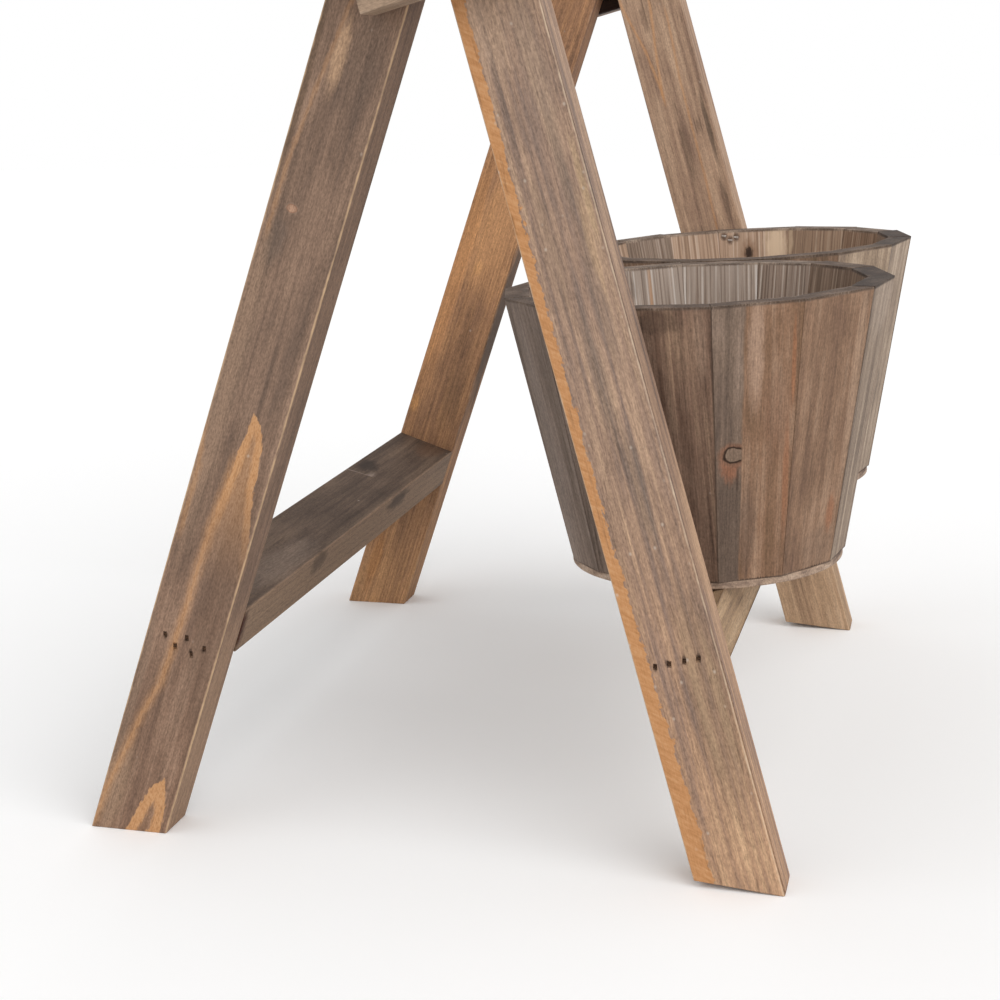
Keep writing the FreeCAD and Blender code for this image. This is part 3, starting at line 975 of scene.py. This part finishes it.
def joint_coat(add, point, outline, look):
    """Darker wood along the joints of a stave."""
    spot = add("SeparateXYZ", {0: point}).outputs
    half = add("MapRange", fade(spot[0], (0, outline.length), outline.half_high, outline.half_low))
    off_middle = add("Math", {0: spot[1]}, operation="ABSOLUTE")
    to_joint = add("Math", {0: half, 1: off_middle}, operation="SUBTRACT")
    return add("MapRange", fade(to_joint, joint_fade, look["joint"]), **smooth), joint_tone


print("joints are dark over", joint_fade[0], "mm")

# %% Charred tops, painted shade at the feet, and the fir of a stave
char_and_shade_size = (14, 16, 10)
char_and_shade_steps = (0.4, 0.49, 0.57, 0.67)
char_and_shade_fray = 3.0
char_and_shade_strength = 0.92
fibres_in_char = 0.5
top_char = (-0.8, 0.4)
# Painted shade along the foot of a stave, in the char tones, where it meets the base board.
painted_foot_shade = (3.0, 1.6)


def char_and_foot_shade_coats(add, point, height, outline, look):
    """Charred top of a stave, and painted shade along its lower edge, where it meets the base board."""
    upward = (math.cos(outline.lean), 0, math.sin(outline.lean))
    up = add("VectorMath", {0: point, 1: upward}, operation="DOT_PRODUCT")
    up = add("Math", {0: height, 1: char_and_shade_fray, 2: up}, operation="MULTIPLY_ADD")
    char_and_shade_noise = grain(add, point, char_and_shade_size, outline.length, 4.0)
    char_and_shade_mix = add("Mix", {0: fibres_in_char, 2: char_and_shade_noise, 3: height})
    char_and_foot_shade = add("ValToRGB", {"Fac": char_and_shade_mix}, ramp(char_and_shade_steps, look["char_and_foot_shade"]))
    top = outline.length * math.cos(outline.lean)
    return [(add("MapRange", fade(up, edges, char_and_shade_strength), **smooth), char_and_foot_shade)
            for edges in ([top + step for step in top_char], painted_foot_shade)]


def stave_fir(name, axes, outline, look):
    """Stained fir of one stave: dull, darker at the joints, charred on top, with painted shade at its foot,
    and greyer inside.
    """
    material, add = new_material(name)
    point = board_point(add, axes)
    colour, height = stain(add, point, look)
    if "strip" in look:
        colour = coated(add, colour, [strip_coat(add, point, look)])
    coats = [inside_coat(add, point, colour, look), *mark_coats(add, point, look),
             joint_coat(add, point, outline, look), *char_and_foot_shade_coats(add, point, height, outline, look)]
    fir_surface(add, coated(add, colour, coats), height)
    return material


plain_stave = plain_look | {
    "tones": ("#65523F", "#846955", "#9C826D"), "streak_size": (120, 3.0, 3.0), "ring_width": 4.2,
    "pith": (4, -45, 0.02), "few_specks": 0.85, "joint": 0.2,
    "inside": ("#75665C", "#A39184", "#E3D8CC"), "inside_patches": (),
    "char_and_foot_shade": ("#43362D", "#615146", "#837061", "#AE9985"),
}
print("a plain stave has", len(plain_stave), "choices")

# %% Looks of the staves
first_seed, seed_step = 41.7, 3.9
grey_strip = {
    "tones": ("#605046", "#7E6A5B", "#968070"), "seed": 43.7,
    "knots": (((75, -10.7, 0), 5.3, ("#86705F", "#362419", "#86634F")),),
    "patches": patches_on(outer_face, (36, -12, 46, 11, "#5A4B41", 0.5), (69, -13, 12, 7, "#9A664B", 0.7),
                          (60, -9, 10, 1.2, "#4A3B32", 0.6)),
}
grey_brown = ("#63554B", "#7D6C60", "#948378")
dark_inside = ("#665448", "#7F6B59", "#9C8876")
lined_grey = ("#897B70", "#BAAB9F", "#EAE0D6")
tan_inside = ("#9A806A", "#C6A890", "#E2CCB8")
# The next two tone sets char stave tops, and also give the painted shade at the staves' feet.
pale_top = ("#56483E", "#7D6D60", "#9F8C7C", "#C6B3A0")
burnt_top_and_foot_shade = ("#291F1B", "#3F332C", "#584B42", "#857567")
stave_looks = {
    "near_01": {
        "tones": ("#735842", "#8C6C55", "#A98A72"), "blotch": 0.55, "joint": 0.05,
        "strip": (-7.0, grey_strip), "patches": patches_on(
            outer_face, (125, 20.7, 32, 1.5, "#A8714F", 0.6), (60, 18, 42, 2.2, "#A56F50", 0.5),
            (134, -0.5, 44, 5.5, "#B59680", 0.7), (95, 12, 32, 9, "#7C5B47", 0.5),
            (30, -3, 34, 6, "#67554A", 0.5))},
    "near_02": {
        "tones": ("#705646", "#8C6E58", "#A1836C"), "blotch": 0.6, "joint": 0.05,
        "patches": patches_on(
            outer_face, (31, 14, 14, 4, "#9C694C", 0.6), (110, 21, 80, 5, "#B0927A", 0.6),
            (12, 6, 16, 16, "#7A6251", 0.5))},
    "near_03": {
        "tones": ("#6C5C51", "#8B7868", "#AC9885"), "thread": 0.3, "joint": 0.1, "inside": dark_inside,
        "char_and_foot_shade": burnt_top_and_foot_shade, "patches": patches_on(outer_face, (150, 0, 26, 30, "#AD9A8A", 0.55))},
    "near_04": {"inside": dark_inside, "char_and_foot_shade": burnt_top_and_foot_shade},
    "near_05": {"inside": ("#6B5A4E", "#8A7666", "#B7A492")},
    "near_06": {"inside": ("#7B6B5F", "#AB998C", "#E6D9CC"), "char_and_foot_shade": pale_top},
    "near_07": {
        "inside": lined_grey, "char_and_foot_shade": pale_top, "inside_patches": patches_on(
            inner_face, (100, 22, 90, 1.0, "#EFE7DE", 0.7), (100, -22.4, 90, 1.0, "#F2EBE3", 0.7))},
    "near_08": {
        "inside": lined_grey, "char_and_foot_shade": pale_top,
        "inside_patches": patches_on(inner_face, (100, -0.7, 90, 1.3, "#BE8D62", 0.65))},
    "near_12": {"tones": grey_brown, "patches": patches_on(outer_face, (70, -9, 110, 9, "#93847A", 0.5))},
    "near_13": {"tones": grey_brown},
    "near_14": {
        "tones": ("#644C3E", "#836958", "#A3876F"), "joint": 0.6, "thread": 0.24, "patches": patches_on(
            outer_face, (152, -2, 10, 16, "#503F35", 0.6), (140, 22, 26, 4, "#A78B76", 0.5))},
    "far_02": {"tones": ("#76655A", "#998470", "#BBA58F")},
    "far_03": {"tones": ("#7A6A5E", "#9E8A78", "#C0AC98"), "char_and_foot_shade": burnt_top_and_foot_shade},
    "far_04": {"inside": dark_inside, "char_and_foot_shade": burnt_top_and_foot_shade},
    "far_05": {"inside": ("#77614F", "#977C67", "#BBA48F"), "char_and_foot_shade": pale_top},
    "far_06": {
        "inside": ("#806A59", "#AB9079", "#CDB69F"), "char_and_foot_shade": pale_top,
        "inside_patches": patches_on(inner_face, (146, 23, 22, 6, "#DCC2A4", 0.6))},
    "far_07": {
        "char_and_foot_shade": pale_top, "inside_patches": patches_on(
            inner_face, (142, -16, 24, 9, "#E6CDAE", 0.65), (140, 3, 12, 7, "#86634A", 0.6),
            (140, 3.5, 6, 3.6, "#31221A", 0.95), (153, 21.3, 4, 3, "#46342A", 0.8),
            (150, 17.0, 4, 3, "#46342A", 0.8), (152, 12.5, 4, 3, "#46342A", 0.8))},
    "far_08": {"char_and_foot_shade": pale_top},
    "far_09": {"inside": ("#6E5F54", "#938274", "#BCAC9F"), "joint": 0.6, "char_and_foot_shade": pale_top},
}
for number, node in enumerate(stave_axes):
    look = plain_stave | {"seed": first_seed + seed_step * number}
    look |= {"inside": tan_inside} if "far" in node else {}
    look |= stave_looks.get(node.removeprefix("tub_stave_"), {})
    fir = stave_fir("stained_fir_" + node, stave_axes[node], stave_outlines[node], look)
    pieces[node].data.materials.append(fir)
print("stained fir on", len(stave_axes), "staves")

# %% [markdown]
# ## Raw wood and steel
# The base boards were left raw, so they are pale and greyed by handling. The nails in the legs are rusty and
# sunk in dark pits, and those in the tubs are bright. Steel keeps the default index of refraction, and
# noise over its roughness breaks up the gloss.

# %% Raw wood of the base boards
raw_look = plain_look | {
    "tones": ("#6C594E", "#AF9682", "#D6C1AE"), "streak_size": (60, 6, 3), "blotch": 0.6, "seed": 71.3}
for node, axes in base_axes.items():
    # Raw fir, sanded: dull and pale, with grey handling marks.
    raw, add = new_material("raw_fir_" + node)
    point = board_point(add, axes._replace(along=axes.across, across=-axes.along))
    fir_surface(add, *stain(add, point, raw_look))
    pieces[node].data.materials.append(raw)
print("raw fir on", len(base_axes), "base boards")

# %% Steel of the nails
rust_size = (0.8, 0.8, 0.8)
rust_steps = (0.35, 0.65)
gloss_change = 0.15


def steel(name, tones, roughness):
    """Drawn steel: metal with a gloss that rust or scratches break up."""
    material, add = new_material(name)
    point = add("Mapping", {"Vector": add("TexCoord").outputs["Object"], "Scale": (MM, MM, MM)},
                vector_type="TEXTURE")
    rust = grain(add, point, rust_size, 0.0)
    colour = add("ValToRGB", {"Fac": rust}, ramp(rust_steps, tones))
    gloss = add("MapRange", fade(rust, (0, 1), roughness + gloss_change, roughness - gloss_change))
    shader = add("BsdfPrincipled", {"Base Color": colour, "Metallic": 1.0, "Roughness": gloss})
    add("OutputMaterial", {"Surface": shader})
    return material


rusty_steel = steel("rusty_steel", ("#33261E", "#5A4434"), 0.6)
bright_steel = steel("bright_steel", ("#DAD6D0", "#F4F1EC"), 0.4)
for node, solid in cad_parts.items():
    if node not in pieces:
        solid.data.materials.clear()
        solid.data.materials.append(bright_steel if node.startswith("tub") else rusty_steel)
print("solids kept:", sorted(set(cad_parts) - set(pieces)))
